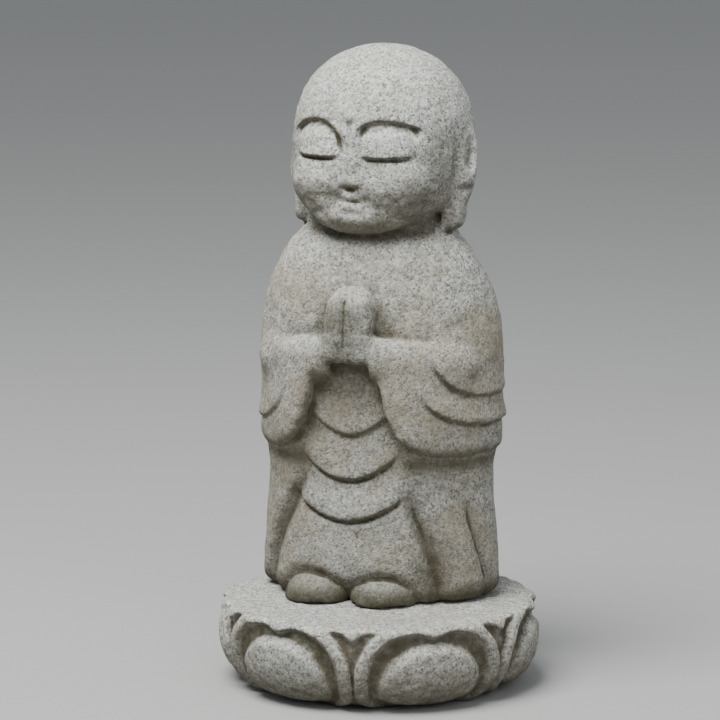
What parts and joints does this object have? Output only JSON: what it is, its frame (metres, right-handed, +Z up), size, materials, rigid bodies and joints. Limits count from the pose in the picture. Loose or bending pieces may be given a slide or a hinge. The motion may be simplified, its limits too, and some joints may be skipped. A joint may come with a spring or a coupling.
{
  "type": "stone jizo statue",
  "caption": "Small granite garden statue of a standing jizo monk with hands joined in prayer, set on a round lotus-petal plinth.",
  "frame": {"origin": "the middle of the plinth's underside, where the statue stands on the ground", "axes": "+Z up the statue; the figure faces -Y, and +X is to the figure's left"},
  "size_m": [0.2258, 0.2274, 0.448],
  "materials": {
    "plinth_granite": "matte",
    "figure_granite": "matte"
  },
  "bodies": {
    "root": {"lotus_plinth": "plinth_granite", "jizo_figure": "figure_granite"}
  },
  "joints": []
}
